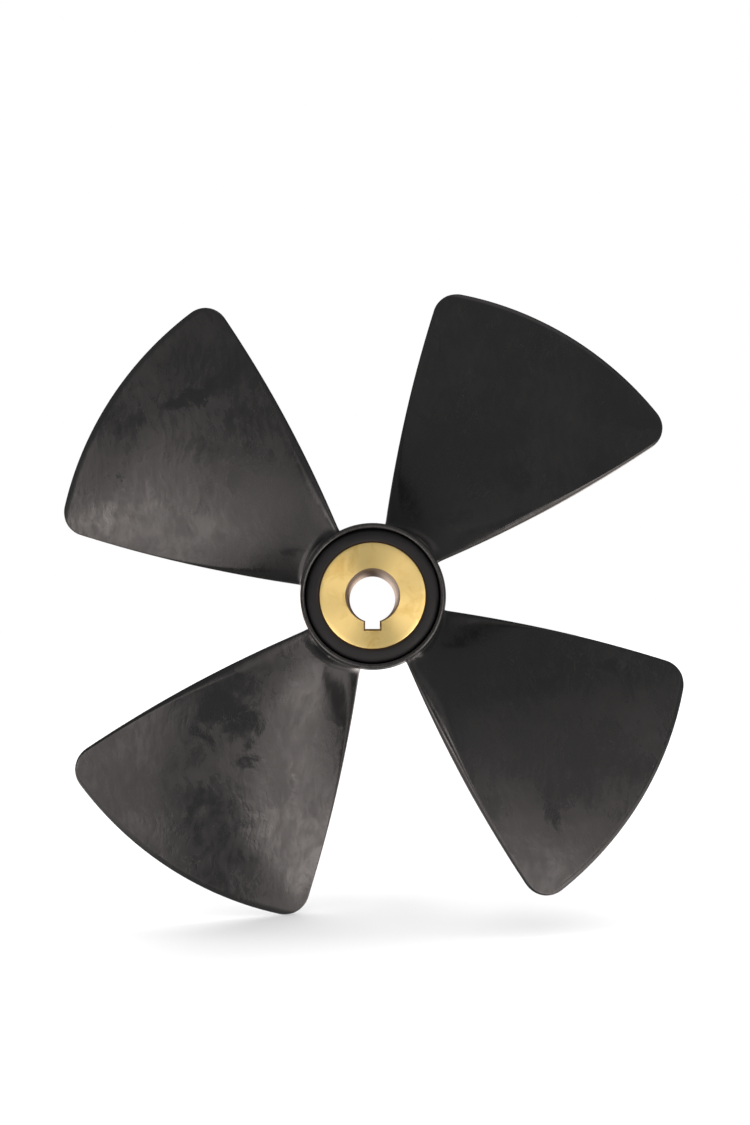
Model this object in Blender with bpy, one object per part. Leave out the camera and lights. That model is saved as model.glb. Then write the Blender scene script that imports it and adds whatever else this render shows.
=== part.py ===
"""Four-blade moulded propeller for a tunnel thruster, on a brass hub insert with a keyed bore.

Metres, +Z up. The shaft axis is Y. The origin is on the axis at the hub's rear end face, and the
front, the end that the retaining nut bears on, faces -Y. Angles are clockwise from +Z as the front
shows them. Depths are measured from the front end face towards +Y.
"""

from math import acos, asin, atan, cos, hypot, pi, radians, sin, sqrt

import bmesh
import bpy
from mathutils import Vector

# Driving sizes
TIP_RADIUS = 0.1235
HUB_LENGTH = 0.060
BORE_RADIUS = 0.0095
KEYWAY_WIDTH = 0.006
KEYWAY_DEPTH = 0.0028
INSERT_RADIUS = 0.0187
BUSH_OUTER_RADIUS = 0.0237
SHELL_INNER_RADIUS = 0.0240
SHELL_END_RADIUS = 0.0254
SHELL_RADIUS = 0.0267
SHELL_TAPER_LENGTH = 0.014
FACE_GAP = 0.0003

# Blades: a helicoid of constant lead, left-handed, cut to a fan-shaped outline
BLADE_COUNT = 4
LEAD = 0.184
BLADE_ANGLE = radians(37.2)
BLADE_DEPTH = 0.018
NEAR_EDGE = {"direction": radians(61.8), "offset": 0.0003, "bulge": 0.0021, "corner": 0.0095}
FAR_EDGE = {"direction": radians(12.6), "offset": 0.0010, "bulge": 0.0018, "corner": 0.0087}
ROOT_THICKNESS = 0.0064
TIP_THICKNESS = 0.0034
ROOT_EDGE_RADIUS = 0.0018
TIP_EDGE_RADIUS = 0.0012
ROOT_FILLET = 0.0035
EDGE_FLARE = 0.5
ROOT_RADIUS = 0.0249

# Mesh density
RING_STEPS = 72
CHORD_STEPS = 10
SPAN_STEPS = 8
CORNER_STEPS = 6
FILLET_STEPS = 3
BUSH_STEPS = 5

MATERIALS = {
    "black_composite": ((0.028, 0.027, 0.027, 1.0), 0.42, 0.0),
    "black_rubber": ((0.020, 0.019, 0.020, 1.0), 0.75, 0.0),
    "brass": ((0.72, 0.52, 0.24, 1.0), 0.30, 1.0),
}


def clear_scene():
    for obj in list(bpy.data.objects):
        bpy.data.objects.remove(obj, do_unlink=True)


def material(name):
    """A Principled material with the colour, roughness and metallic value in MATERIALS."""
    colour, roughness, metallic = MATERIALS[name]
    made = bpy.data.materials.new(name)
    made.use_nodes = True
    shader = made.node_tree.nodes["Principled BSDF"]
    shader.inputs["Base Color"].default_value = colour
    shader.inputs["Roughness"].default_value = roughness
    shader.inputs["Metallic"].default_value = metallic
    made.diffuse_color = colour
    return made


def solid(name, mesh_data, surface):
    """An object from a bmesh, with its faces turned out and its round stretches shaded smooth."""
    bmesh.ops.recalc_face_normals(mesh_data, faces=mesh_data.faces)
    mesh = bpy.data.meshes.new(name)
    mesh_data.to_mesh(mesh)
    mesh_data.free()
    mesh.shade_smooth()
    mesh.set_sharp_from_angle(angle=radians(35))
    if surface:
        mesh.materials.append(surface)
    obj = bpy.data.objects.new(name, mesh)
    bpy.context.scene.collection.objects.link(obj)
    return obj


def ring(name, profile, surface):
    """A solid of revolution about the Y axis. The profile is a closed loop of (radius, depth)."""
    made = bmesh.new()
    loops = []
    for step in range(RING_STEPS):
        angle = 2 * pi * step / RING_STEPS
        loops.append(
            [
                made.verts.new((radius * sin(angle), depth - HUB_LENGTH, radius * cos(angle)))
                for radius, depth in profile
            ]
        )
    count = len(profile)
    for step, loop in enumerate(loops):
        following = loops[(step + 1) % RING_STEPS]
        for i in range(count):
            j = (i + 1) % count
            made.faces.new((loop[i], loop[j], following[j], following[i]))
    return solid(name, made, surface)


def both_ends(front_profile):
    """A closed profile from its front half: the rear half mirrors it about the hub's middle."""
    rear = [(radius, HUB_LENGTH - depth) for radius, depth in reversed(front_profile)]
    return front_profile + rear


def shell_radius(depth):
    """The outer radius of the hub shell, which is barrel-shaped: it tapers towards both ends."""
    from_end = min(depth, HUB_LENGTH - depth)
    left = max(0.0, 1 - from_end / SHELL_TAPER_LENGTH)
    return SHELL_RADIUS - (SHELL_RADIUS - SHELL_END_RADIUS) * left**2


def blade_depth(angle):
    """Depth of the blade's middle surface at an angle, before the blade is turned to its place."""
    return BLADE_DEPTH - LEAD / (2 * pi) * (angle - BLADE_ANGLE)


def fillet(distance):
    """How far a quarter-round fillet stands out from a surface at this distance from its corner."""
    if distance >= ROOT_FILLET:
        return 0.0
    reach = ROOT_FILLET - max(distance, 0.0)
    return ROOT_FILLET - sqrt(ROOT_FILLET**2 - reach**2)


def edge_turn(radius, edge):
    """The angle at this radius between an edge's direction and the edge itself.

    The edge is a shallow parabola beside the direction. It runs at a tangent into a round corner,
    which runs into the tip circle.
    """
    offset, corner = edge["offset"], edge["corner"]
    length = TIP_RADIUS - corner - SHELL_RADIUS
    lean = atan(4 * edge["bulge"] / length)
    centre_side = offset - corner * cos(lean)
    centre_reach = TIP_RADIUS - corner
    bow_end = sqrt(centre_reach**2 - centre_side**2) + corner * sin(lean)
    if radius <= hypot(bow_end, offset):
        left = (bow_end - sqrt(radius**2 - offset**2)) / (bow_end - SHELL_RADIUS)
        bow = 4 * edge["bulge"] * left * (1 - left) if left < 1 else 0.0
        return asin((offset + bow + EDGE_FLARE * fillet(radius - SHELL_RADIUS)) / radius)
    spread = (radius**2 + centre_reach**2 - corner**2) / (2 * radius * centre_reach)
    return asin(centre_side / centre_reach) + acos(min(1.0, spread))


def blade_radii():
    """Radii of the mesh rows: close together in the root fillet and round the tip corners."""
    corner = max(NEAR_EDGE["corner"], FAR_EDGE["corner"])
    span_start = SHELL_RADIUS + ROOT_FILLET
    span_end = TIP_RADIUS - corner
    rows = [ROOT_RADIUS]
    for i in range(FILLET_STEPS):
        rows.append(SHELL_RADIUS + ROOT_FILLET * (i / FILLET_STEPS) ** 1.5)
    for i in range(SPAN_STEPS):
        rows.append(span_start + (span_end - span_start) * i / SPAN_STEPS)
    for i in range(CORNER_STEPS + 1):
        rows.append(TIP_RADIUS - corner * (1 - sin(pi / 2 * i / CORNER_STEPS)))
    return rows


def between(radius, at_root, at_tip):
    """A size that changes evenly from the blade's root to its tip."""
    along = (radius - SHELL_RADIUS) / (TIP_RADIUS - SHELL_RADIUS)
    return at_root + (at_tip - at_root) * max(0.0, along)


def chord_places(radius, chord):
    """Distances from the far edge across a chord: three in each rounded edge, the rest even."""
    edge = between(radius, ROOT_EDGE_RADIUS, TIP_EDGE_RADIUS)
    start = [0.0, 0.3 * edge, edge]
    span = chord - 2 * edge
    middle = [edge + span * i / CHORD_STEPS for i in range(1, CHORD_STEPS)]
    return start + middle + [chord - place for place in reversed(start)]


def half_thickness(radius, place, chord, above_shell):
    """Half the blade's thickness at a place across the chord, nothing on the outline itself.

    above_shell is how far this place is outside the hub shell, where the root fillet starts.
    """
    middle = between(radius, ROOT_THICKNESS, TIP_THICKNESS) / 2
    edge = between(radius, ROOT_EDGE_RADIUS, TIP_EDGE_RADIUS)
    full = edge + (middle - edge) * (1 - (2 * place / chord - 1) ** 2)
    inset = max(0.0, min(place, chord - place, TIP_RADIUS - radius))
    if inset < edge:
        full = sqrt(edge**2 - (edge - inset) ** 2)
    return full + fillet(above_shell) * min(1.0, inset / ROOT_FILLET)


def blade_point(radius, angle, turn, lift):
    """A point of the helicoid, lifted along its normal. turn places the blade round the hub."""
    place = angle + turn
    radial = Vector((sin(place), 0, cos(place)))
    tangent = Vector((cos(place), 0, -sin(place)))
    axis = Vector((0, 1, 0))
    normal = (-LEAD / (2 * pi) * tangent - radius * axis).normalized()
    return radius * radial + (blade_depth(angle) - HUB_LENGTH) * axis + lift * normal


def blade(turn):
    """One blade: a front and a back sheet that share the outline, closed at the root."""
    made = bmesh.new()
    sheets = ([], [])
    for radius in blade_radii():
        far = FAR_EDGE["direction"] - edge_turn(radius, FAR_EDGE)
        near = NEAR_EDGE["direction"] + edge_turn(radius, NEAR_EDGE)
        per_radian = hypot(radius, LEAD / (2 * pi))
        chord = per_radian * (near - far)
        rows = ([], [])
        for place in chord_places(radius, chord):
            angle = far + place / per_radian
            above_shell = radius - shell_radius(blade_depth(angle))
            lift = half_thickness(radius, place, chord, above_shell)
            front = made.verts.new(blade_point(radius, angle, turn, lift))
            back = front
            if lift > 0:
                back = made.verts.new(blade_point(radius, angle, turn, -lift))
            rows[0].append(front)
            rows[1].append(back)
        sheets[0].append(rows[0])
        sheets[1].append(rows[1])
    for rows in sheets:
        for low, high in zip(rows, rows[1:]):
            for i in range(len(low) - 1):
                made.faces.new((low[i], low[i + 1], high[i + 1], high[i]))
    front, back = sheets[0][0], sheets[1][0]
    for i in range(len(front) - 1):
        corners = [front[i], front[i + 1], back[i + 1], back[i]]
        made.faces.new(list(dict.fromkeys(corners)))
    return solid("blade", made, None)


def joined(base, others):
    """The base with the others joined to it by Boolean unions. The others stay as hidden guides."""
    for i, other in enumerate(others):
        other.name = f"{base.name}_blank_{i + 1}"
        other.hide_render = True
        other.display_type = "WIRE"
        other.hide_set(True)
        union = base.modifiers.new(f"join_{i + 1}", "BOOLEAN")
        union.operation = "UNION"
        union.solver = "EXACT"
        union.object = other


def propeller_moulding(surface):
    """The hub shell and its blades, moulded in one piece."""
    lip_depth = 0.0003
    lip_round = 0.0005
    outer_depths = [0.0010, 0.0030, 0.0055, 0.0090, SHELL_TAPER_LENGTH]
    front = [
        (SHELL_INNER_RADIUS, lip_depth + lip_round),
        (SHELL_INNER_RADIUS + 0.4 * lip_round, lip_depth + 0.2 * lip_round),
        (SHELL_INNER_RADIUS + lip_round, lip_depth),
        (shell_radius(lip_round) - lip_round, lip_depth),
        (shell_radius(lip_round) - 0.3 * lip_round, lip_depth + 0.3 * lip_round),
    ]
    front += [(shell_radius(depth), depth) for depth in outer_depths]
    shell = ring("propeller_moulding", both_ends(front), surface)
    blades = [blade(2 * pi * i / BLADE_COUNT) for i in range(BLADE_COUNT)]
    joined(shell, blades)
    return shell


def rubber_bush(surface):
    """The resilient ring between the moulding and the insert.

    Each end face has a crest near the brass and falls away to a groove inside the shell's lip.
    """
    inner = INSERT_RADIUS + FACE_GAP
    crest_radius = inner + 0.0009
    crest_depth = 0.0004
    inner_fall = 0.0007
    groove_fall = 0.0032
    front = []
    for share in (1.0, 0.6):
        fall = inner_fall * share**2
        front.append((crest_radius - (crest_radius - inner) * share, crest_depth + fall))
    for i in range(BUSH_STEPS + 1):
        share = i / BUSH_STEPS
        fall = groove_fall * (1 - sqrt(1 - share**2))
        front.append((crest_radius + (BUSH_OUTER_RADIUS - crest_radius) * share, crest_depth + fall))
    return ring("rubber_bush", both_ends(front), surface)


def brass_hub_insert(surface):
    """The turned insert that slides on the shaft, with a keyway along the bottom of its bore."""
    outer_break = 0.0003
    bore_break = 0.0005
    front = [
        (BORE_RADIUS, bore_break),
        (BORE_RADIUS + bore_break, 0.0),
        (INSERT_RADIUS - outer_break, 0.0),
        (INSERT_RADIUS, outer_break),
    ]
    insert = ring("brass_hub_insert", both_ends(front), surface)
    overrun = 0.005
    floor = BORE_RADIUS + KEYWAY_DEPTH
    roof = BORE_RADIUS / 2
    made = bmesh.new()
    bmesh.ops.create_cube(made, size=1.0)
    for vert in made.verts:
        vert.co.x *= KEYWAY_WIDTH
        vert.co.y = vert.co.y * (HUB_LENGTH + 2 * overrun) - HUB_LENGTH / 2
        vert.co.z = vert.co.z * (floor - roof) - (floor + roof) / 2
    cutter = solid("keyway_cutter", made, None)
    cutter.hide_render = True
    cutter.display_type = "WIRE"
    cutter.hide_set(True)
    cut = insert.modifiers.new("keyway", "BOOLEAN")
    cut.operation = "DIFFERENCE"
    cut.solver = "EXACT"
    cut.object = cutter
    return insert


def main():
    clear_scene()
    propeller_moulding(material("black_composite"))
    rubber_bush(material("black_rubber"))
    brass_hub_insert(material("brass"))


main()
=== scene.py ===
"""Looks of a four-blade tunnel thruster propeller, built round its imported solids.

Metres, in the row frame: the shaft axis is Y, the front of the hub faces -Y and +Z is up. Angles are
clockwise from +Z as the front shows them. Depths are measured from the hub's front towards +Y.
"""

from math import acos, asin, atan, cos, hypot, pi, radians, sin, sqrt

import bmesh
import bpy
import numpy as np
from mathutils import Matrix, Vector


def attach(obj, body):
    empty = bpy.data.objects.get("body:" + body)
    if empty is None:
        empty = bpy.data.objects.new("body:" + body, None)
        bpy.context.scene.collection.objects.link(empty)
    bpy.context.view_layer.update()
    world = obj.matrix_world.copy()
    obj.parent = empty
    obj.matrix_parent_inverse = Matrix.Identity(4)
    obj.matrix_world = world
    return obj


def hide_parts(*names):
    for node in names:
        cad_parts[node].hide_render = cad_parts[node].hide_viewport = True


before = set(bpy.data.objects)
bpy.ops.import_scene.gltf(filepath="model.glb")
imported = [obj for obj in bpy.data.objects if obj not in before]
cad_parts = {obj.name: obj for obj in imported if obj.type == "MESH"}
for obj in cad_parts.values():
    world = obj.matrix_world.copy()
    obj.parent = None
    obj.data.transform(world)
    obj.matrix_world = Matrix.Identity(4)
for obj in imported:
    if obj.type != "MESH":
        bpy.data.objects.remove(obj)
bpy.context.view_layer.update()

# Sizes of the solids
TIP_RADIUS = 0.1235
HUB_LENGTH = 0.060
BORE_RADIUS = 0.0095
KEYWAY_WIDTH = 0.006
KEYWAY_DEPTH = 0.0028
INSERT_RADIUS = 0.0187
BUSH_OUTER_RADIUS = 0.0237
SHELL_INNER_RADIUS = 0.0240
SHELL_END_RADIUS = 0.0254
SHELL_RADIUS = 0.0267
SHELL_TAPER_LENGTH = 0.014
BLADE_COUNT = 4
LEAD = 0.184
BLADE_ANGLE = radians(37.2)
BLADE_DEPTH = 0.018
NEAR_EDGE = {"direction": radians(61.8), "offset": 0.0003, "bulge": 0.0021, "corner": 0.0095}
FAR_EDGE = {"direction": radians(12.6), "offset": 0.0010, "bulge": 0.0018, "corner": 0.0087}
ROOT_THICKNESS = 0.0064
TIP_THICKNESS = 0.0034
TIP_RIM = 0.0012
ROOT_FILLET = 0.0035
ROOT_RADIUS = 0.0249

# A blade's finer shapes: side edges rolled over, widest at the root, and a narrow tip chamfer
ROOT_RIM = 0.0026
ROOT_ROUND = 0.0125
SIDE_ROUND = 0.0007
SIDE_POWER = 2.0
TIP_ROUND = 0.0020
TIP_POWER = 1.3
BELLY_WIDTH = 0.022

# The root fillet: how far in from the outline it becomes whole, and how much widens each edge
FILLET_FADE = 0.006
NEAR_FLARE = 0.03
FAR_FLARE = 0.2

# The shell's crowned lip, and the depth where the plain barrel takes over from it
LIP_DEPTH = 0.0003
LIP_HEIGHT = 0.0005
BARREL_START = 0.0012

# The bush: its gap to the brass, a crest close by, and a fall from the crest to the shell's lip
BUSH_GAP = 0.0001
CREST_WIDTH = 0.0011
CREST_DEPTH = 0.0004
CREST_FALL = 0.0008
CREST_TURN = 0.95
GROOVE_FALL = 0.0030
GROOVE_POWER = 2.6

# The insert: its broken edges, and the rings of points across its flat ends
BORE_BREAK = 0.00022
KEY_BREAK = 0.00012
OUTER_BREAK = 0.0003
FACE_RINGS = (BORE_RADIUS + 0.0040, BORE_RADIUS + 0.0060, INSERT_RADIUS - 0.0016)

# Mesh density
RING_STEPS = 256
LIP_STEPS = 16
BARREL_STEPS = 12
FILLET_STEPS = 14
SPAN_STEPS = 34
CORNER_STEPS = 20
RIM_STEPS = 12
CHORD_STEPS = 40
CREST_STEPS = 8
GROOVE_STEPS = 24
BORE_STEPS = 192
KEYWAY_STEPS = 6
SIDE_STEPS = 4
BREAK_STEPS = 4
SHARP_ANGLE = radians(42)

# Spacing on a blade: a rim's largest share of the chord, crowding by the rims, last corner row
RIM_SHARE = 0.3
CROWDING = 0.8
CORNER_END = TIP_RADIUS - 1.15 * TIP_ROUND

# Lengths too small to see: least chord, margin at the tip, what is on the outline or doubled
SMALLEST_CHORD = 1e-5
TIP_MARGIN = 1e-6
ON_OUTLINE = 1e-7
MERGE_DISTANCE = 1e-8

# Linear colours
FILM_THIN = (0.0132, 0.0136, 0.0140, 1)
FILM_THICK = (0.0164, 0.0160, 0.0157, 1)
SCUFF_GREY = (0.0225, 0.0215, 0.0205, 1)
SPECK_GREY = (0.060, 0.057, 0.054, 1)
WORN_GREY = (0.028, 0.027, 0.026, 1)
RUBBER_DARK = (0.0080, 0.0078, 0.0082, 1)
RUBBER_PALE = (0.0138, 0.0134, 0.0140, 1)
BOND_BROWN = (0.060, 0.026, 0.016, 1)
BRASS_CLEAN = (0.91, 0.705, 0.288, 1)
# Brass darkened by smudges, and by painted shade in a vertical band that darkens the face at top and
# bottom
BRASS_TARNISH_AND_SHADE = (0.76, 0.540, 0.180, 1)
# Painted shade: the bore's wall darkened to brown
BRASS_BORE_SHADE = (0.42, 0.31, 0.215, 1)
FLOOR_DARK = (0.44, 0.44, 0.44, 1)
FLOOR_PALE = (0.46, 0.46, 0.46, 1)
WHITE = (1, 1, 1, 1)

# Shares of the three patterns in the composite's film, and where in the noise its gaps are taken
FILM_SHARE = 0.45
WIPED_SHARE = 0.30
CLOUD_SHARE = 0.25
BARE_SHIFT = (40.7, 14.3, -23.1)

# How far marks reach: wear down the lip, the rubber's bond line, a vertical band of painted shade
# across the insert's face, and painted shade on the bore's wall
LIP_WEAR = 0.0011
BOND_WIDTH = 0.0006
# Half width of the vertical band of painted shade across the insert's face
SHADE_BAND_HALF_WIDTH = 0.0055
# Where the painted shade on the bore's wall starts, and where it is whole
BORE_SHADE_START = 0.0002
BORE_SHADE_WHOLE = 0.00005

# The room the object sees: its strength in front and behind, where in Y it changes, its colour
ROOM_FRONT = 0.26
ROOM_BACK = 0.12
ROOM_CHANGE = (-0.3, 0.4)
ROOM_COLOUR = (0.98, 1.0, 1.02, 1)

# Soft lights, in degrees: azimuth, elevation, radius of the even core and of the edge, strength
SOFT_LIGHTS = {
    "left_key": (-23, -19, 3, 10, 5.3),
    "left_key_below": (-23, -30, 3, 10, 2.0),
    "left_key_corner": (-29, -24, 2, 8, 2.5),
    "low_front": (-5, -33, 4, 12, 2.3),
    "left_middle": (-46, -26, 6, 18, 0.6),
    "left_low": (-40, -44, 6, 18, 1.0),
    "left_low_inner": (-33, -36, 3, 10, 1.8),
    "left_wing": (-72, -34, 16, 36, 0.65),
    "front_left": (-17, -9, 4, 12, 1.1),
    "front_right": (20, -3, 4, 12, 4.2),
    "right_key_top": (37, -9, 4, 12, 3.4),
    "right_up": (40, 14, 6, 16, 0.3),
    "right_key": (31, -23, 5, 12, 5.0),
    "right_low": (50, -34, 6, 14, 3.6),
    "right_lowest": (68, -45, 6, 15, 2.1),
    "right_far": (84, -30, 8, 22, 1.4),
    "rear_left": (205, -10, 8, 26, 2.8),
    "rear_right": (150, -24, 8, 26, 3.0),
    "side_right": (125, -48, 12, 28, 0.8),
    "side_left": (-112, -24, 12, 28, 1.0),
    "overhead": (0, 82, 14, 36, 0.4),
}
LIGHT_COLOUR = (1.0, 0.90, 0.86, 1)

# Soft suns that only the floor takes: the energy, and the spread and tilt in degrees
FLOOR_LIGHTS = {"overhead": (1.1, 16, -3), "overhead_wide": (4.5, 120, 0)}
SUN_HEIGHT = 1.0

# The floor: just under the lowest blade tips, and wide enough to fill the view
FLOOR_HEIGHT = -0.1190
FLOOR_REACH = 6.0
FLOOR_STEPS = 12
FLOOR_GLOW = 0.35

# The photograph's viewpoint: 320 mm in front of the hub, a little below the axis, angles in degrees
CAMERA_PLACE = (-0.00056, -0.380, -0.00856)
CAMERA_RISE = 3.61
CAMERA_PAN = -0.25
CAMERA_LENS = 29.12
CAMERA_SENSOR = 36.0
CAMERA_RANGE = (0.01, 50.0)


def shell_radius(depth):
    """The outer radius of the barrel-shaped hub shell."""
    from_end = min(depth, HUB_LENGTH - depth)
    left = max(0.0, 1 - from_end / SHELL_TAPER_LENGTH)
    return SHELL_RADIUS - (SHELL_RADIUS - SHELL_END_RADIUS) * left**2


def blade_depth(angle):
    """Depth of the blade's middle surface at an angle, before the blade is turned to its place."""
    return BLADE_DEPTH - LEAD / (2 * pi) * (angle - BLADE_ANGLE)


def fillet(distance):
    """How far a quarter-round fillet stands out from a surface at this distance from its corner."""
    if distance >= ROOT_FILLET:
        return 0.0
    reach = ROOT_FILLET - max(distance, 0.0)
    return ROOT_FILLET - sqrt(ROOT_FILLET**2 - reach**2)


def edge_turn(radius, edge, flare):
    """The angle at this radius between an edge's direction and the edge itself.

    The edge is a shallow parabola beside the direction. It runs at a tangent into a round corner,
    which runs into the tip circle. At the root the flare is the share of the fillet that widens it.
    """
    offset, corner = edge["offset"], edge["corner"]
    length = TIP_RADIUS - corner - SHELL_RADIUS
    lean = atan(4 * edge["bulge"] / length)
    centre_side = offset - corner * cos(lean)
    centre_reach = TIP_RADIUS - corner
    bow_end = sqrt(centre_reach**2 - centre_side**2) + corner * sin(lean)
    if radius <= hypot(bow_end, offset):
        left = (bow_end - sqrt(radius**2 - offset**2)) / (bow_end - SHELL_RADIUS)
        bow = 4 * edge["bulge"] * left * (1 - left) if left < 1 else 0.0
        return asin((offset + bow + flare * fillet(radius - SHELL_RADIUS)) / radius)
    spread = (radius**2 + centre_reach**2 - corner**2) / (2 * radius * centre_reach)
    return asin(centre_side / centre_reach) + acos(min(1.0, spread))


def between(radius, at_root, at_tip):
    """A size that changes evenly from the blade's root to its tip."""
    along = (radius - SHELL_RADIUS) / (TIP_RADIUS - SHELL_RADIUS)
    return at_root + (at_tip - at_root) * max(0.0, along)


def smooth(value):
    """Smoothly from 0 to 1 as the value goes from 0 to 1."""
    value = min(1.0, max(0.0, value))
    return value * value * (3 - 2 * value)


def round_width(radius):
    """How far in from a side edge a face starts to roll over. Widest at the root."""
    left = (TIP_RADIUS - max(radius, SHELL_RADIUS)) / (TIP_RADIUS - SHELL_RADIUS)
    return SIDE_ROUND + (ROOT_ROUND - SIDE_ROUND) * left**4


def roll(distance, width, power):
    """The share of its full lift that a face has this far in from an edge."""
    turn = 1 - min(1.0, max(0.0, distance) / width)
    return (1 - turn**power) ** (1 / power)


def rim_places(width):
    """Distances in from the outline, spaced to follow the rolled edge."""
    return [width * (1 - cos(pi / 2 * i / RIM_STEPS)) for i in range(RIM_STEPS + 1)]


def blade_radii():
    """Radii of the mesh rows: close together in the root fillet, the tip corners and the chamfer."""
    corner = max(NEAR_EDGE["corner"], FAR_EDGE["corner"])
    span_start = SHELL_RADIUS + ROOT_FILLET
    span_end = TIP_RADIUS - corner
    rows = [ROOT_RADIUS]
    rows += [SHELL_RADIUS + ROOT_FILLET * (i / FILLET_STEPS) ** 2 for i in range(FILLET_STEPS)]
    rows += [span_start + (span_end - span_start) * i / SPAN_STEPS for i in range(SPAN_STEPS)]
    for i in range(CORNER_STEPS):
        radius = TIP_RADIUS - corner * (1 - sin(pi / 2 * i / CORNER_STEPS))
        if radius < CORNER_END:
            rows.append(radius)
    return rows + [TIP_RADIUS - place for place in reversed(rim_places(TIP_ROUND))]


def chord_places(radius, chord):
    """Distances across a chord: close in both rims, then opening out towards the middle."""
    start = rim_places(min(round_width(radius), RIM_SHARE * chord))
    span = chord - 2 * start[-1]
    middle = []
    for i in range(1, CHORD_STEPS):
        share = i / CHORD_STEPS
        middle.append(start[-1] + span * (share - CROWDING * sin(2 * pi * share) / (2 * pi)))
    return start + middle + [chord - place for place in reversed(start)]


def half_thickness(radius, inset, above_shell):
    """Half the blade's thickness this far in from its outline, nothing on the outline itself.

    above_shell is how far this place is outside the hub shell, where the root fillet starts.
    """
    if inset <= ON_OUTLINE:
        return 0.0
    rim = between(radius, ROOT_RIM, TIP_RIM)
    middle = between(radius, ROOT_THICKNESS, TIP_THICKNESS) / 2
    half = rim + fillet(above_shell) * smooth(inset / FILLET_FADE)
    half *= roll(inset, round_width(radius), SIDE_POWER)
    half *= roll(TIP_RADIUS - radius + TIP_MARGIN, TIP_ROUND, TIP_POWER)
    return half + (middle - rim) * smooth(inset / BELLY_WIDTH)


def nearest(points, line):
    """Distance from each point to a polyline."""
    best = np.full(len(points), np.inf)
    for start, end in zip(line, line[1:]):
        along = end - start
        share = np.clip((points - start) @ along / (along @ along), 0, 1)
        gap = np.linalg.norm(points - start - share[:, None] * along, axis=1)
        best = np.minimum(best, gap)
    return best


def blade_grid():
    """One blade's middle surface, unit front normals and half thickness, [row, place]."""
    slope = LEAD / (2 * pi)
    rows = blade_radii()
    points, normals, radii, above_shell = [], [], [], []
    for radius in rows:
        far = FAR_EDGE["direction"] - edge_turn(radius, FAR_EDGE, FAR_FLARE)
        near = NEAR_EDGE["direction"] + edge_turn(radius, NEAR_EDGE, NEAR_FLARE)
        per_radian = hypot(radius, slope)
        chord = max(per_radian * (near - far), SMALLEST_CHORD)
        for place in chord_places(radius, chord):
            angle = far + place / per_radian
            depth = blade_depth(angle)
            radial = np.array((sin(angle), 0, cos(angle)))
            tangent = np.array((cos(angle), 0, -sin(angle)))
            normal = -slope * tangent - radius * np.array((0, 1, 0))
            points.append(radius * radial + np.array((0, depth - HUB_LENGTH, 0)))
            normals.append(normal / np.linalg.norm(normal))
            radii.append(radius)
            above_shell.append(radius - shell_radius(depth))
    points = np.array(points)
    grid = points.reshape(len(rows), -1, 3)
    outline = np.concatenate([grid[:, 0], grid[-1, 1:], grid[-2::-1, -1]])
    insets = nearest(points, outline)
    halves = [half_thickness(*place) for place in zip(radii, insets, above_shell)]
    return grid, np.array(normals).reshape(grid.shape), np.array(halves).reshape(len(rows), -1)


def turned(points, turn):
    """Points turned clockwise about the shaft axis, as the front shows it."""
    x, y, z = points[..., 0], points[..., 1], points[..., 2]
    return np.stack([x * cos(turn) + z * sin(turn), y, z * cos(turn) - x * sin(turn)], axis=-1)


def add_blade(made, grid, normals, halves, turn):
    """One blade, as a front and a back sheet that share the outline, closed inside the hub."""
    rows, places = halves.shape
    middle = turned(grid, turn)
    offset = turned(normals, turn) * halves[..., None]
    front = [[None] * places for _ in range(rows)]
    back = [[None] * places for _ in range(rows)]
    for r in range(rows):
        for p in range(places):
            front[r][p] = made.verts.new(middle[r, p] + offset[r, p])
            back[r][p] = front[r][p]
            if halves[r, p] > 0:
                back[r][p] = made.verts.new(middle[r, p] - offset[r, p])
    for r in range(rows - 1):
        for p in range(places - 1):
            made.faces.new((front[r][p], front[r][p + 1], front[r + 1][p + 1], front[r + 1][p]))
            made.faces.new((back[r][p], back[r + 1][p], back[r + 1][p + 1], back[r][p + 1]))
    for p in range(places - 1):
        corners = [front[0][p], back[0][p], back[0][p + 1], front[0][p + 1]]
        made.faces.new(list(dict.fromkeys(corners)))


def join_loops(made, loops):
    """Faces from each closed loop of points to the next one, and from the last to the first."""
    count = len(loops[0])
    for k, loop in enumerate(loops):
        following = loops[(k + 1) % len(loops)]
        for i in range(count):
            j = (i + 1) % count
            made.faces.new((loop[i], loop[j], following[j], following[i]))


def add_ring(made, profile):
    """A solid of revolution about the Y axis. The profile is a closed loop of (radius, depth)."""
    loops = []
    for step in range(RING_STEPS):
        angle = 2 * pi * step / RING_STEPS
        place = [(r * sin(angle), depth - HUB_LENGTH, r * cos(angle)) for r, depth in profile]
        loops.append([made.verts.new(point) for point in place])
    join_loops(made, loops)


def both_ends(front):
    """A closed profile from the front end's (radius, depth) points and their like at the rear."""
    return front + [(radius, HUB_LENGTH - depth) for radius, depth in reversed(front)]


def arc(centre, size, start, end, steps):
    """Points on a quarter turn or less. Angles in degrees: 0 is outwards, -90 is to the front."""
    points = []
    for i in range(steps + 1):
        angle = radians(start + (end - start) * i / steps)
        points.append((centre[0] + size * cos(angle), centre[1] + size * sin(angle)))
    return points


def piece(name, made, surface, node):
    """Makes an object from a bmesh that stands for a CAD node and rides with it."""
    bmesh.ops.remove_doubles(made, verts=made.verts, dist=MERGE_DISTANCE)
    bmesh.ops.recalc_face_normals(made, faces=made.faces)
    mesh = bpy.data.meshes.new(name)
    made.to_mesh(mesh)
    made.free()
    mesh.shade_smooth()
    mesh.set_sharp_from_angle(angle=SHARP_ANGLE)
    mesh.materials.append(surface)
    obj = bpy.data.objects.new(name, mesh)
    bpy.context.scene.collection.objects.link(obj)
    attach(obj, "root")
    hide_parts(node)


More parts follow.
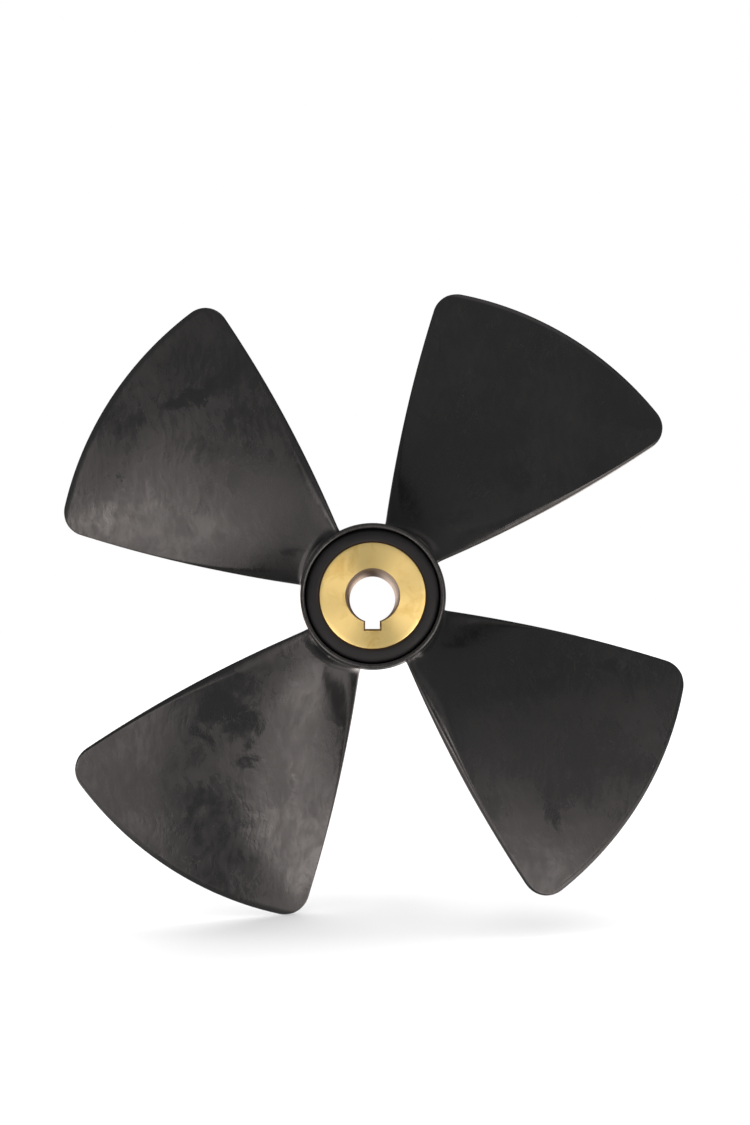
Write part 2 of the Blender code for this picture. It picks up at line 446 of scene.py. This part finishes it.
def moulding(surface):
    """The hub shell with its four blades."""
    made = bmesh.new()
    outer = shell_radius(LIP_DEPTH + LIP_HEIGHT)
    half = (outer - SHELL_INNER_RADIUS) / 2
    front = []
    for i in range(LIP_STEPS + 1):
        turn = pi * i / LIP_STEPS
        crown = LIP_DEPTH + LIP_HEIGHT * (1 - sin(turn))
        front.append((SHELL_INNER_RADIUS + half * (1 - cos(turn)), crown))
    for i in range(BARREL_STEPS + 1):
        depth = BARREL_START + (SHELL_TAPER_LENGTH - BARREL_START) * i / BARREL_STEPS
        front.append((shell_radius(depth), depth))
    add_ring(made, both_ends(front))
    grid, normals, halves = blade_grid()
    for i in range(BLADE_COUNT):
        add_blade(made, grid, normals, halves, 2 * pi * i / BLADE_COUNT)
    piece("moulded_propeller", made, surface, "propeller_moulding")


def bush(surface):
    """The rubber between the shell and the insert: crowned near the brass, grooved at the lip."""
    made = bmesh.new()
    inner = INSERT_RADIUS + BUSH_GAP
    crest = inner + CREST_WIDTH
    front = []
    for i in range(CREST_STEPS):
        share = 1 - i / CREST_STEPS
        fall = CREST_FALL * (1 - sqrt(1 - (CREST_TURN * share) ** 2))
        front.append((crest - (crest - inner) * share, CREST_DEPTH + fall))
    for i in range(GROOVE_STEPS + 1):
        share = sin(pi / 2 * i / GROOVE_STEPS)
        fall = GROOVE_FALL * (1 - (1 - share**GROOVE_POWER) ** (1 / GROOVE_POWER))
        front.append((crest + (BUSH_OUTER_RADIUS - crest) * share, CREST_DEPTH + fall))
    add_ring(made, both_ends(front))
    piece("rubber_bush_ring", made, surface, "rubber_bush")


def bore_outline(grow, key_grow):
    """The keyed bore's outline as (x, z), larger by grow round the bore and key_grow at the key."""
    half = KEYWAY_WIDTH / 2 + key_grow
    key_floor = -(BORE_RADIUS + KEYWAY_DEPTH + key_grow)
    radius = BORE_RADIUS + grow
    meet = asin(half / radius)
    points = []
    for i in range(BORE_STEPS + 1):
        angle = pi + meet + (2 * pi - 2 * meet) * i / BORE_STEPS
        points.append((radius * sin(angle), radius * cos(angle)))
    side = radius * cos(meet)
    down = [-side + (key_floor + side) * i / SIDE_STEPS for i in range(1, SIDE_STEPS)]
    points += [(half, z) for z in down]
    for i in range(KEYWAY_STEPS + 1):
        points.append((half - 2 * half * i / KEYWAY_STEPS, key_floor))
    return points + [(-half, z) for z in reversed(down)]


def insert(surface):
    """The turned brass insert with its keyed bore."""
    made = bmesh.new()
    edge = bore_outline(BORE_BREAK, KEY_BREAK)
    wall = bore_outline(0.0, 0.0)
    front = [[(x, BORE_BREAK, z) for x, z in wall], [(x, 0.0, z) for x, z in edge]]
    ways = [(x / hypot(x, z), z / hypot(x, z)) for x, z in edge]
    rings = [(radius, 0.0) for radius in FACE_RINGS]
    rings += arc((INSERT_RADIUS - OUTER_BREAK, OUTER_BREAK), OUTER_BREAK, -90, 0, BREAK_STEPS)
    front += [[(radius * x, depth, radius * z) for x, z in ways] for radius, depth in rings]
    rear = [[(x, HUB_LENGTH - depth, z) for x, depth, z in loop] for loop in reversed(front)]
    loops = []
    for loop in front + rear:
        loops.append([made.verts.new((x, depth - HUB_LENGTH, z)) for x, depth, z in loop])
    join_loops(made, loops)
    piece("brass_insert", made, surface, "brass_hub_insert")


class Graph:
    """Short calls for the nodes of one material or world."""

    def __init__(self, tree):
        self.tree = tree

    def add(self, kind, inputs=None, **settings):
        """A node, with each input linked to a socket or set to a value."""
        node = self.tree.nodes.new(kind)
        for name, value in settings.items():
            setattr(node, name, value)
        for name, value in (inputs or {}).items():
            if isinstance(value, bpy.types.NodeSocket):
                self.tree.links.new(value, node.inputs[name])
            else:
                node.inputs[name].default_value = value
        return node

    def math(self, operation, *values):
        return self.add("ShaderNodeMath", dict(enumerate(values)), operation=operation).outputs[0]

    def noise(self, vector, scale, detail=3.0, roughness=0.5, distortion=0.0):
        """Noise from 0 to 1. On an object the scale is about how many blots go in a metre."""
        inputs = {"Vector": vector, "Scale": scale, "Detail": detail}
        inputs.update({"Roughness": roughness, "Distortion": distortion})
        return self.add("ShaderNodeTexNoise", inputs).outputs["Fac"]

    def stretch(self, vector, scale, turn=(0, 0, 0), shift=(0, 0, 0)):
        """The vector scaled, then turned by these radians and shifted."""
        inputs = {"Vector": vector, "Location": shift, "Rotation": turn, "Scale": scale}
        return self.add("ShaderNodeMapping", inputs).outputs[0]

    def step(self, value, low, high, to_low=0.0, to_high=1.0):
        """Smoothly from to_low to to_high as the value goes from low to high."""
        inputs = {"Value": value, "From Min": low, "From Max": high}
        inputs.update({"To Min": to_low, "To Max": to_high})
        node = self.add("ShaderNodeMapRange", inputs, interpolation_type="SMOOTHSTEP")
        return node.outputs["Result"]

    def blend(self, share, first, second):
        """From the first colour to the second. A Mix node's colour sockets are 6 and 7, and 2 out."""
        return self.add("ShaderNodeMix", {0: share, 6: first, 7: second}, data_type="RGBA").outputs[2]

    def drift(self, vector, scale, reach):
        """The vector pushed by up to half the reach either way, so that marks on it bend."""
        push = self.add("ShaderNodeTexNoise", {"Vector": vector, "Scale": scale, "Detail": 2.0})
        inputs = {0: push.outputs["Color"], 1: (reach, reach, reach), 2: vector}
        return self.add("ShaderNodeVectorMath", inputs, operation="MULTIPLY_ADD").outputs[0]

    def along(self, vector, axis):
        """The vector's part along X, Y or Z."""
        return self.add("ShaderNodeSeparateXYZ", {"Vector": vector}).outputs[axis]

    def from_axis(self, vector):
        """The distance from the shaft axis."""
        flat = self.add("ShaderNodeVectorMath", {0: vector, 1: (1, 0, 1)}, operation="MULTIPLY")
        length = {0: flat.outputs["Vector"]}
        return self.add("ShaderNodeVectorMath", length, operation="LENGTH").outputs["Value"]

    def specks(self, vector, scale, rarity):
        """Small dots at the centres of those cells whose random colour is above the rarity."""
        cells = self.add("ShaderNodeTexVoronoi", {"Vector": vector, "Scale": scale})
        spot = self.step(cells.outputs["Distance"], 0.10, 0.04)
        chance = self.add("ShaderNodeSeparateColor", {"Color": cells.outputs["Color"]})
        return self.math("MULTIPLY", spot, self.step(chance.outputs[0], rarity, rarity + 0.02))

    def bump(self, height, distance, strength, normal=None):
        """The normal over a height, on top of another bump's normal where one is given."""
        inputs = {"Height": height, "Distance": distance, "Strength": strength}
        if normal is not None:
            inputs["Normal"] = normal
        return self.add("ShaderNodeBump", inputs).outputs[0]


def new_material(name):
    """A material with its shader, its graph and the object's own coordinates."""
    made = bpy.data.materials.new(name)
    made.use_nodes = True
    shader = made.node_tree.nodes["Principled BSDF"]
    graph = Graph(made.node_tree)
    place = graph.add("ShaderNodeTexCoord").outputs["Object"]
    return made, shader, graph, place


def film_cover(graph, drift, wisps):
    """How much film covers the composite, from nothing in its gaps to 1 where it is thickest."""
    film = graph.noise(drift, scale=24.0, detail=2.0, roughness=0.5, distortion=0.2)
    film = graph.step(film, 0.26, 0.68)
    clouds = graph.noise(drift, scale=95.0, detail=4.0, roughness=0.6)
    clouds = graph.step(clouds, 0.28, 0.72)
    wiped = graph.step(wisps, 0.34, 0.68)
    cover = graph.math("MULTIPLY", film, FILM_SHARE)
    cover = graph.math("MULTIPLY_ADD", wiped, WIPED_SHARE, cover)
    cover = graph.math("MULTIPLY_ADD", clouds, CLOUD_SHARE, cover)
    bare_place = graph.stretch(drift, (46, 46, 46), shift=BARE_SHIFT)
    bare = graph.noise(bare_place, scale=1.0, detail=4.0, roughness=0.56, distortion=0.3)
    bare = graph.step(bare, 0.44, 0.34)
    return graph.math("MULTIPLY", cover, graph.math("SUBTRACT", 1.0, bare))


def scuffs(graph, place):
    """Fine strokes that bend and run together, in patches."""
    swirl = graph.drift(place, scale=75.0, reach=0.020)
    stroke_place = graph.stretch(swirl, (1500, 1500, 240), turn=(0.2, 1.1, 0.4))
    strokes = graph.noise(stroke_place, scale=1.0, detail=2.0)
    patches = graph.step(graph.noise(place, scale=60.0), 0.46, 0.66)
    return graph.math("MULTIPLY", graph.step(strokes, 0.50, 0.74), patches)


def lip_wear(graph, place):
    """Uneven wear on the lips at both ends of the hub shell."""
    from_middle = graph.math("ADD", graph.along(place, "Y"), HUB_LENGTH / 2)
    from_middle = graph.math("ABSOLUTE", from_middle)
    lip = graph.step(from_middle, HUB_LENGTH / 2 - LIP_WEAR, HUB_LENGTH / 2 - LIP_DEPTH)
    chips = graph.step(graph.noise(place, scale=1100.0, roughness=0.6), 0.30, 0.62)
    return graph.math("MULTIPLY", lip, chips)


def composite():
    """Black moulded composite with a handled film, fine scuffs, specks and a worn lip."""
    made, shader, graph, place = new_material("black_composite")
    link = made.node_tree.links.new
    drift = graph.drift(place, scale=45.0, reach=0.011)
    wisp_place = graph.stretch(drift, (420, 420, 130), turn=(0.9, 0.4, 0.7))
    wisps = graph.noise(wisp_place, scale=1.0, detail=4.0, roughness=0.62)
    cover = film_cover(graph, drift, wisps)
    scuff = scuffs(graph, place)
    worn = lip_wear(graph, place)
    base = graph.blend(cover, FILM_THIN, FILM_THICK)
    base = graph.blend(scuff, base, SCUFF_GREY)
    base = graph.blend(graph.specks(place, scale=260.0, rarity=0.955), base, SPECK_GREY)
    base = graph.blend(worn, base, WORN_GREY)
    link(base, shader.inputs["Base Color"])
    rough = graph.step(cover, 0.0, 1.0, to_low=0.14, to_high=0.40)
    rough = graph.math("MULTIPLY_ADD", scuff, 0.12, rough)
    rough = graph.math("MULTIPLY_ADD", worn, 0.04, rough)
    link(rough, shader.inputs["Roughness"])
    wavy = graph.noise(place, scale=34.0, detail=2.0)
    mottle = graph.noise(drift, scale=120.0, roughness=0.55)
    grain = graph.noise(place, scale=2600.0, roughness=0.6)
    normal = graph.bump(wavy, distance=0.0005, strength=0.25)
    normal = graph.bump(mottle, distance=0.00012, strength=0.8, normal=normal)
    normal = graph.bump(wisps, distance=0.00005, strength=1.0, normal=normal)
    normal = graph.bump(grain, distance=0.00002, strength=0.08, normal=normal)
    link(normal, shader.inputs["Normal"])
    return made


def rubber():
    """Matt black rubber with moulding flow marks, and its brown bonding line next to the brass."""
    made, shader, graph, place = new_material("black_rubber")
    link = made.node_tree.links.new
    shader.inputs["Specular IOR Level"].default_value = 0.32
    cloudy = graph.noise(place, scale=90.0, detail=4.0, roughness=0.55, distortion=0.4)
    base = graph.blend(graph.step(cloudy, 0.35, 0.70), RUBBER_DARK, RUBBER_PALE)
    across = graph.from_axis(place)
    bond = graph.step(across, INSERT_RADIUS + BOND_WIDTH, INSERT_RADIUS + BUSH_GAP)
    base = graph.blend(bond, base, BOND_BROWN)
    link(base, shader.inputs["Base Color"])
    rough = graph.step(cloudy, 0.3, 0.7, to_low=0.52, to_high=0.68)
    link(rough, shader.inputs["Roughness"])
    grain = graph.noise(place, scale=3200.0, detail=4.0, roughness=0.6)
    link(graph.bump(grain, distance=0.00003, strength=0.5), shader.inputs["Normal"])
    return made


def brass():
    """Turned brass: fine rings round the axis, a few smudges, painted shade darkening the face at top
    and bottom, and painted shade browning the bore.
    """
    made, shader, graph, place = new_material("brass")
    link = made.node_tree.links.new
    across = graph.from_axis(place)
    ring_place = graph.add("ShaderNodeCombineXYZ", {"X": across}).outputs[0]
    rings = graph.noise(ring_place, scale=5200.0, roughness=0.7)
    wide_rings = graph.noise(ring_place, scale=900.0, detail=2.0)
    smudge = graph.noise(place, scale=140.0, detail=5.0, roughness=0.6, distortion=0.6)
    aside = graph.math("ABSOLUTE", graph.along(place, "X"))
    # Painted shade: a vertical band through the axis darkens the face at top and bottom. It is added
    # to the smudges' tarnish.
    painted_shade_band = graph.step(aside, SHADE_BAND_HALF_WIDTH, 0.0)
    tarnish_and_shade = graph.step(graph.math("MULTIPLY_ADD", painted_shade_band, 0.16, smudge), 0.50, 0.78)
    # Painted shade: the wall of the bore darkened to brown
    bore = graph.step(across, BORE_RADIUS + BORE_SHADE_START, BORE_RADIUS + BORE_SHADE_WHOLE)
    base = graph.blend(tarnish_and_shade, BRASS_CLEAN, BRASS_TARNISH_AND_SHADE)
    base = graph.blend(bore, base, BRASS_BORE_SHADE)
    link(base, shader.inputs["Base Color"])
    rough = graph.step(wide_rings, 0.3, 0.7, to_low=0.37, to_high=0.42)
    rough = graph.math("MULTIPLY_ADD", tarnish_and_shade, 0.03, rough)
    link(rough, shader.inputs["Roughness"])
    shader.inputs["Metallic"].default_value = 1.0
    shader.inputs["Anisotropic"].default_value = 0.74
    shader.inputs["Anisotropic Rotation"].default_value = 0.25
    tangent = graph.add("ShaderNodeTangent", direction_type="RADIAL", axis="Y")
    link(tangent.outputs[0], shader.inputs["Tangent"])
    normal = graph.bump(rings, distance=0.00001, strength=0.5)
    normal = graph.bump(smudge, distance=0.00005, strength=0.2, normal=normal)
    link(normal, shader.inputs["Normal"])
    return made


def floor_material():
    """Plain matt white, with the faintest unevenness."""
    made, shader, graph, place = new_material("floor_white")
    base = graph.blend(graph.noise(place, scale=3.0), FLOOR_DARK, FLOOR_PALE)
    made.node_tree.links.new(base, shader.inputs["Base Color"])
    shader.inputs["Roughness"].default_value = 0.6
    shader.inputs["Specular IOR Level"].default_value = 0.0
    shader.inputs["Emission Color"].default_value = WHITE
    shader.inputs["Emission Strength"].default_value = FLOOR_GLOW
    return made


def add_floor():
    """A wide pale floor that throws no light or reflection on the object."""
    made = bmesh.new()
    places = [-FLOOR_REACH + 2 * FLOOR_REACH * i / FLOOR_STEPS for i in range(FLOOR_STEPS + 1)]
    rows = [[made.verts.new((x, y, 0)) for x in places] for y in places]
    for row, following in zip(rows, rows[1:]):
        for i in range(FLOOR_STEPS):
            made.faces.new((row[i], row[i + 1], following[i + 1], following[i]))
    mesh = bpy.data.meshes.new("floor")
    made.to_mesh(mesh)
    made.free()
    mesh.materials.append(floor_material())
    floor = bpy.data.objects.new("floor", mesh)
    floor.location = (0, 0, FLOOR_HEIGHT)
    bpy.context.scene.collection.objects.link(floor)
    floor.visible_glossy = False
    floor.visible_diffuse = False
    floor.visible_shadow = False
    return floor


def direction(azimuth, elevation):
    """From the object: azimuth 0 is towards the photograph's camera, positive to its right."""
    a, e = radians(azimuth), radians(elevation)
    return Vector((sin(a) * cos(e), -cos(a) * cos(e), sin(e)))


def add_floor_lights(floor):
    """Soft suns from above that only the floor takes, for the shadows under the blades."""
    floor_only = bpy.data.collections.new("lit_floor")
    floor_only.objects.link(floor)
    for name, (energy, spread, tilt) in FLOOR_LIGHTS.items():
        data = bpy.data.lights.new(name, "SUN")
        data.energy = energy
        data.angle = radians(spread)
        light = bpy.data.objects.new(name, data)
        bpy.context.scene.collection.objects.link(light)
        light.location = (0, 0, SUN_HEIGHT)
        light.rotation_euler = (radians(tilt), 0, 0)
        light.light_linking.receiver_collection = floor_only


def add_world():
    """White surroundings for the camera, and a dim room with soft lights for the object."""
    world = bpy.data.worlds.new("studio")
    bpy.context.scene.world = world
    world.use_nodes = True
    graph = Graph(world.node_tree)
    for node in list(world.node_tree.nodes):
        world.node_tree.nodes.remove(node)
    way = graph.add("ShaderNodeTexCoord").outputs["Generated"]
    dim = graph.step(graph.along(way, "Y"), *ROOM_CHANGE, ROOM_FRONT, ROOM_BACK)
    light = 0.0
    for name, (azimuth, elevation, core, edge, strength) in SOFT_LIGHTS.items():
        pair = {0: way, 1: direction(azimuth, elevation)}
        facing = graph.add("ShaderNodeVectorMath", pair, operation="DOT_PRODUCT", label=name)
        outer, inner = cos(radians(edge)), cos(radians(core))
        shape = graph.step(facing.outputs["Value"], outer, inner, to_high=strength)
        light = graph.math("ADD", light, shape)
    seen = graph.add("ShaderNodeBackground", {"Color": WHITE, "Strength": 1.0})
    room = graph.add("ShaderNodeBackground", {"Color": ROOM_COLOUR, "Strength": dim})
    lights = graph.add("ShaderNodeBackground", {"Color": LIGHT_COLOUR, "Strength": light})
    felt = graph.add("ShaderNodeAddShader", {0: room.outputs[0], 1: lights.outputs[0]})
    ray = graph.add("ShaderNodeLightPath").outputs["Is Camera Ray"]
    mixed = graph.add("ShaderNodeMixShader", {0: ray, 1: felt.outputs[0], 2: seen.outputs[0]})
    graph.add("ShaderNodeOutputWorld", {"Surface": mixed.outputs[0]})


def add_camera():
    """A plain camera at the photograph's viewpoint, with no shift and no depth of field."""
    data = bpy.data.cameras.new("camera")
    data.sensor_width = CAMERA_SENSOR
    data.lens = CAMERA_LENS
    data.clip_start, data.clip_end = CAMERA_RANGE
    camera = bpy.data.objects.new("camera", data)
    bpy.context.scene.collection.objects.link(camera)
    camera.location = CAMERA_PLACE
    camera.rotation_euler = (radians(90 + CAMERA_RISE), 0, radians(CAMERA_PAN))
    bpy.context.scene.camera = camera


def main():
    moulding(composite())
    bush(rubber())
    insert(brass())
    add_floor_lights(add_floor())
    add_world()
    add_camera()
    bpy.context.scene.view_settings.view_transform = "Standard"
    bpy.context.view_layer.update()


main()
